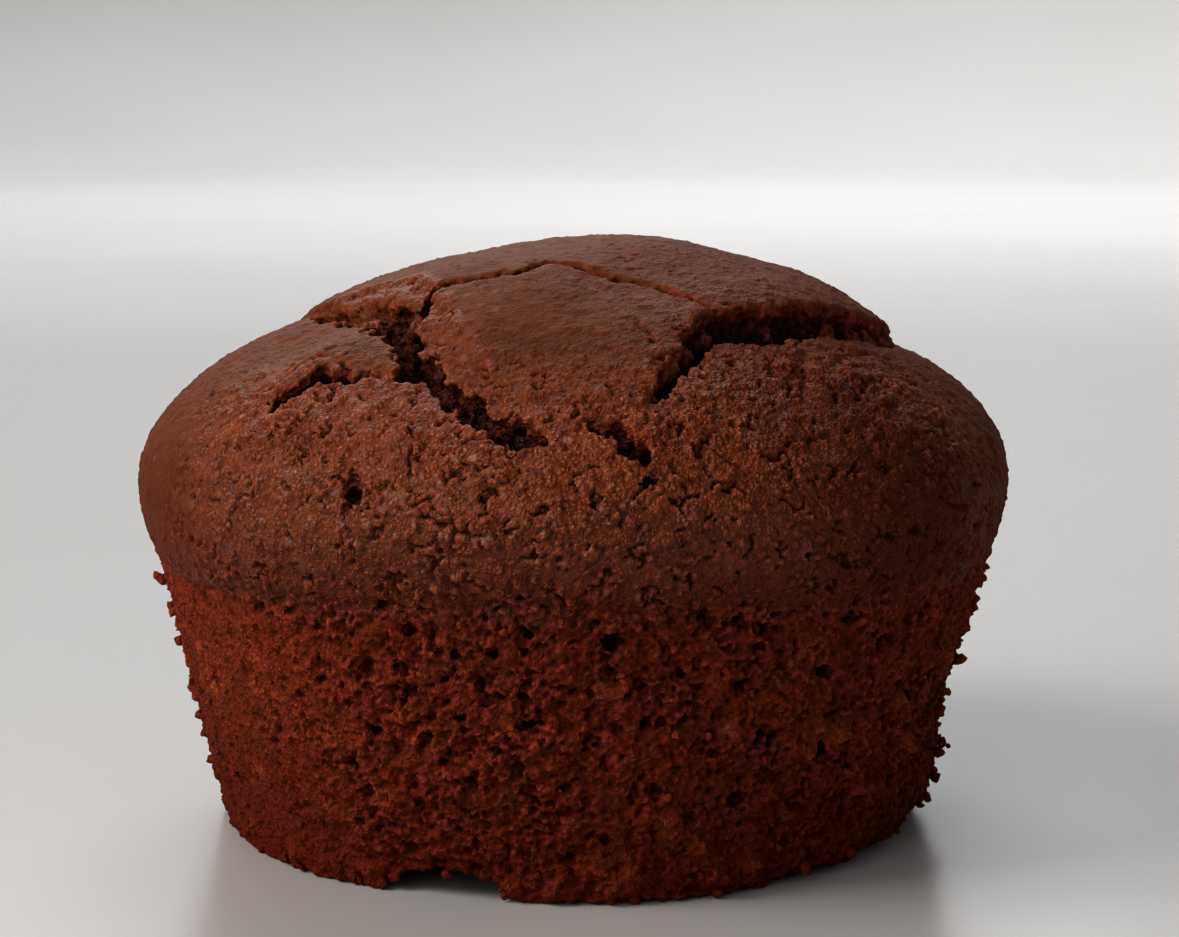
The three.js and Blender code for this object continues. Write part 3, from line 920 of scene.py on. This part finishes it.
CAKE_GRAIN = cake_group()
CRUMB_LIGHT = (0.35, 0.064, 0.025, 1)
CRUMB_DARK = (0.115, 0.0125, 0.0052, 1)
CRUMB_SHADE = (0.016, 0.0008, 0.0002, 1)
CRUMB_HIGHLIGHT = (0.50, 0.098, 0.038, 1)
CRUMB_PALE = (0.66, 0.15, 0.045, 1)
CRUMB_DULL = (0.105, 0.022, 0.0115, 1)
# Painted shade comes in on the wall below this height and is strongest at the foot.
LOW_SHADE_HEIGHT = 12 * MM


def grain_node(tree, colours, flecks, grain, contrast, glints):
    """The grain of cake in its colours: light, dark and fleck, which also colours the painted glints."""
    light, dark, fleck = colours
    return node(tree, "ShaderNodeGroup", {
        "Light": light, "Dark": dark, "Fleck": fleck,
        "Flecks": flecks, "Grain": grain, "Contrast": contrast, "Glints": glints,
    }, node_tree=CAKE_GRAIN).outputs


def crumb_colour(tree):
    """Colour of bare crumb, with a painted highlight on its ridges, painted shade in its bubbles and tears
    and towards the bottom, and its fine height.
    """
    place = node(tree, "ShaderNodeTexCoord").outputs["Object"]
    tall = node(tree, "ShaderNodeSeparateXYZ", {"Vector": place}).outputs["Z"]
    ridge = stored(tree, "ridge")
    # Painted shade: crumb darkens the deeper it lies, and in the hollows between crests.
    deep = ramp(tree, stored(tree, "depth"), 0.1, 1.0, high=0.95)
    hollow_shade = ramp(tree, ridge, 0.48, 0.1, high=0.5)
    # The crumb has a few painted glints too.
    crumb = grain_node(tree, (CRUMB_LIGHT, CRUMB_DARK, CRUMB_PALE), 0.4, 2900.0, 0.6, 0.3)
    smeared = ramp(tree, noise(tree, place, 340.0, 3.0).outputs["Fac"], 0.45, 0.65, high=0.7)
    colour = blend(tree, smeared, crumb["Color"], CRUMB_DULL)
    # Painted highlight on the crests, then painted shade in the depths and hollows.
    colour = blend(tree, ramp(tree, ridge, 0.52, 0.95, high=0.6), colour, CRUMB_HIGHLIGHT)
    colour = blend(tree, calc(tree, "ADD", deep, hollow_shade, use_clamp=True), colour, CRUMB_SHADE)
    # Pale crumb on the tops of grains, partly a painted highlight.
    colour = blend(tree, calc(tree, "MULTIPLY", stored(tree, "pale"), crumb["Height"]), colour, CRUMB_PALE)
    # Painted shade towards the bottom of the wall.
    colour = blend(tree, ramp(tree, tall, LOW_SHADE_HEIGHT, 0.0, high=0.75), colour, CRUMB_DARK)
    return colour, crumb["Height"]


PLATE_SKIN = ((0.225, 0.061, 0.0145, 1), (0.115, 0.026, 0.0065, 1), (0.36, 0.13, 0.04, 1))
LOW_SKIN = ((0.64, 0.180, 0.054, 1), (0.115, 0.0165, 0.0048, 1), (0.70, 0.30, 0.17, 1))
SKIN_RIM = (0.120, 0.0130, 0.0050, 1)
SKIN_HOLLOW_SHADE = (0.035, 0.0040, 0.0013, 1)
SKIN_HIGHLIGHT = (0.46, 0.130, 0.052, 1)
SKIN_SHADE = (0.085, 0.0105, 0.0032, 1)
RIM_TONE = (33 * MM, 23.5 * MM)  # the rim's tone comes in between these heights
GLOSS_BAND = (34 * MM, 29 * MM)  # gloss fades in downwards here,
GLOSS_END = (23 * MM, 27 * MM)  # and out here


def crust_material():
    """Baked skin with a dull bloom, painted shade in its hollows and on its right, a painted highlight on
    its crests and painted glints low in front, and bare crumb where the crust is torn.
    """
    material = bpy.data.materials.new("baked_crust")
    material.use_nodes = True
    tree = material.node_tree
    shader = tree.nodes["Principled BSDF"].inputs
    place = node(tree, "ShaderNodeTexCoord").outputs["Object"]
    tall = node(tree, "ShaderNodeSeparateXYZ", {"Vector": place}).outputs["Z"]
    grain = stored(tree, "grain")
    ridge = stored(tree, "ridge")
    dark = stored(tree, "dark")
    plate = grain_node(tree, PLATE_SKIN, 0.35, 2600.0, 0.4, 0.0)
    # The low skin has painted glints on a few grains.
    low = grain_node(tree, LOW_SKIN, 0.5, 3300.0, 0.7, 0.5)
    crumb, _ = crumb_colour(tree)
    colour = blend(tree, ramp(tree, grain, 0.4, 0.85), plate["Color"], low["Color"])
    colour = blend(tree, ramp(tree, tall, *RIM_TONE, high=0.7), colour, SKIN_RIM)
    # Painted shade in the skin's hollows and a painted highlight on its crests.
    colour = blend(tree, ramp(tree, ridge, 0.47, 0.22, high=0.85), colour, SKIN_HOLLOW_SHADE)
    colour = blend(tree, ramp(tree, ridge, 0.55, 0.9, high=0.5), colour, SKIN_HIGHLIGHT)
    # Painted shade on the right of the crust, away from the light.
    colour = blend(tree, dark, colour, SKIN_SHADE)
    colour = blend(tree, stored(tree, "bare"), colour, crumb)
    tree.links.new(colour, shader["Base Color"])
    gloss = calc(tree, "SUBTRACT", grain, dark, use_clamp=True)
    tree.links.new(ramp(tree, gloss, 0.0, 1.0, high=0.28, low=0.8), shader["Roughness"])
    band = calc(tree, "MULTIPLY", ramp(tree, tall, *GLOSS_BAND), ramp(tree, tall, *GLOSS_END))
    coat = calc(tree, "MULTIPLY", ramp(tree, gloss, 0.5, 1.0, high=0.25), band)
    tree.links.new(coat, shader["Coat Weight"])
    shader["Coat Roughness"].default_value = 0.22
    height = calc(tree, "MULTIPLY", low["Height"], ramp(tree, grain, 0.2, 1.0, low=0.2))
    bump = node(tree, "ShaderNodeBump", {"Height": height, "Strength": 1.0, "Distance": 0.22 * MM})
    tree.links.new(bump.outputs["Normal"], shader["Normal"])
    shader["Specular IOR Level"].default_value = 0.14
    return material


def crumb_material():
    """Torn crumb: reddish brown, with a painted highlight on its thin crests and painted shade in the
    bubbles.
    """
    material = bpy.data.materials.new("bare_crumb")
    material.use_nodes = True
    tree = material.node_tree
    shader = tree.nodes["Principled BSDF"].inputs
    colour, height = crumb_colour(tree)
    tree.links.new(colour, shader["Base Color"])
    bump = node(tree, "ShaderNodeBump", {"Height": height, "Strength": 1.0, "Distance": 0.24 * MM})
    tree.links.new(bump.outputs["Normal"], shader["Normal"])
    shader["Roughness"].default_value = 0.6
    shader["Specular IOR Level"].default_value = 0.03
    return material


BAKED_CRUST = crust_material()
CUT_HEIGHT = 21.6
# Angles from the front at which the muffin is cut into upright pieces.
SECTORS = {"front": (-39, 39), "right": (39, 140), "back": (140, 224), "left": (224, 321)}


def sector_planes(start, end):
    """The two upright planes that bound a sector, by its angles from the front."""
    planes = []
    for side, turn in ((-1, math.radians(start)), (1, math.radians(end))):
        planes.append(((0, 0, 0), (-side * math.cos(turn), -side * math.sin(turn), 0)))
    return planes


upper = cut_piece(body, "upper", [((0, 0, CUT_HEIGHT), (0, 0, 1))])
for side, (start, end) in SECTORS.items():
    finish_piece(cut_piece(upper, f"crust_{side}", sector_planes(start, end)), BAKED_CRUST)
bpy.data.objects.remove(upper)

# ---- Wall and foot ----
# The side below the rim is crumb that was torn bare when the case came off, and so is the flat foot.
# Both are the body below the crust: the wall in the crust's four sectors, and the foot in two halves.
BARE_CRUMB = crumb_material()
FOOT_CUT = 1.5
lower = cut_piece(body, "lower", [((0, 0, CUT_HEIGHT), (0, 0, -1))])
side_wall = cut_piece(lower, "side_wall", [((0, 0, FOOT_CUT), (0, 0, 1))])
for side, (start, end) in SECTORS.items():
    finish_piece(cut_piece(side_wall, f"wall_{side}", sector_planes(start, end)), BARE_CRUMB)
foot = cut_piece(lower, "foot", [((0, 0, FOOT_CUT), (0, 0, -1))])
for side, direction in (("front", -1), ("back", 1)):
    finish_piece(cut_piece(foot, f"foot_{side}", [((0, 0, 0), (0, direction, 0))]), BARE_CRUMB)
for used in (foot, side_wall, lower, body):
    bpy.data.objects.remove(used)

# ---- Crumbs ----
# Bits of torn cake that cling to the wall, hang from its right side and lie under the foot's edge.
# Each is a small ball that is stretched, turned and made uneven.
STREWN = 190
SINK = 0.45  # a strewn crumb's middle lies this share of its radius outside the wall

# The crumbs that are placed one by one: place and radius.
CRUMB_PLACES = [
    (29.6, -2, 6.3, 0.5), (30.1, -2.2, 5.9, 0.45), (30.6, -2.3, 5.6, 0.35), (29.9, -3, 5.2, 0.5),
    (30.3, -1.6, 4.9, 0.3), (31.1, -2.4, 5.9, 0.2), (29.3, -4.6, 3.6, 0.4), (28.4, -6.5, 2.4, 0.5),
    (27.9, -8.5, 1.8, 0.4), (25.6, -12, 0.9, 0.45), (31.3, -5, 13.4, 0.45), (31.8, -2, 15.2, 0.35),
    (33.2, -3, 19.4, 0.5), (33.5, -2, 20.4, 0.4), (30.8, -3, 10.2, 0.4),
    (-35.1, -3, 26.6, 0.4), (-33.3, -3, 19.6, 0.5), (-33.7, -3, 19.9, 0.35), (-32.6, -4, 17.6, 0.4),
    (-31.9, -4, 14.8, 0.35), (-31.1, -5, 11.2, 0.4), (-30.4, -5, 8.8, 0.35), (-29.4, -6, 5.4, 0.4),
    (-4.4, -27.4, 0.5, 0.5), (-5.2, -27.3, 0.6, 0.35), (-14.2, -24.4, 0.5, 0.5), (-13.4, -25, 0.4, 0.35),
    (-19.3, -20.9, 0.5, 0.45), (10.8, -26.9, 0.4, 0.4), (-9.6, -26.4, 0.4, 0.45), (4.6, -28.2, 0.4, 0.4),
    (-3.5, -27.6, 3.4, 0.5), (17.6, -22.8, 1.0, 0.5), (21.5, -19.5, 1.2, 0.45),
]
shape = bmesh.new()
draw = random.Random(8)
x, y, z = points.T
wall = np.nonzero((bare > 0.9) & (z > 0.4) & (z < 27) & (np.hypot(x, y) > 24))[0]
placed = []
for *place, size in CRUMB_PLACES:
    place = Vector(place)
    if not any((place - other).length < 0.75 * (size + other_size) for other, other_size in placed):
        away = np.linalg.norm(points[wall] - place, axis=1)
        near = Vector(points[wall[np.argmin(away)]])
        place = near + (place - near) * min(1, 0.6 * size / max(float(away.min()), 0.01))
    placed.append((place, size))
for _ in range(STREWN):
    at = draw.choice(wall)
    size = draw.uniform(0.16, 0.42)
    placed.append((Vector(points[at] + normals[at] * SINK * size), size))
for place, size in placed:
    turn = Euler([draw.uniform(0, 6.3) for _ in range(3)]).to_matrix().to_4x4()
    stretch = Matrix.Diagonal([draw.uniform(0.6, 1.25) for _ in range(3)] + [1])
    bmesh.ops.create_icosphere(
        shape, subdivisions=2, radius=size, matrix=Matrix.Translation(place) @ turn @ stretch,
    )
for face in shape.faces:
    face.smooth = True
crumbs = new_piece("crumbs", shape)
points = bend(vertices(crumbs.data), 0.22, 0.42, 91)
points[:, 2] = np.maximum(points[:, 2], 0)
move_vertices(crumbs.data, points)
# The crumbs count as low crests: they take part of the painted highlight and none of the painted shade.
for name, value in (("ridge", 0.72), ("depth", 0.05), ("pale", 0.1)):
    set_attribute(crumbs.data, name, np.full(len(points), value))
finish_piece(crumbs, BARE_CRUMB)
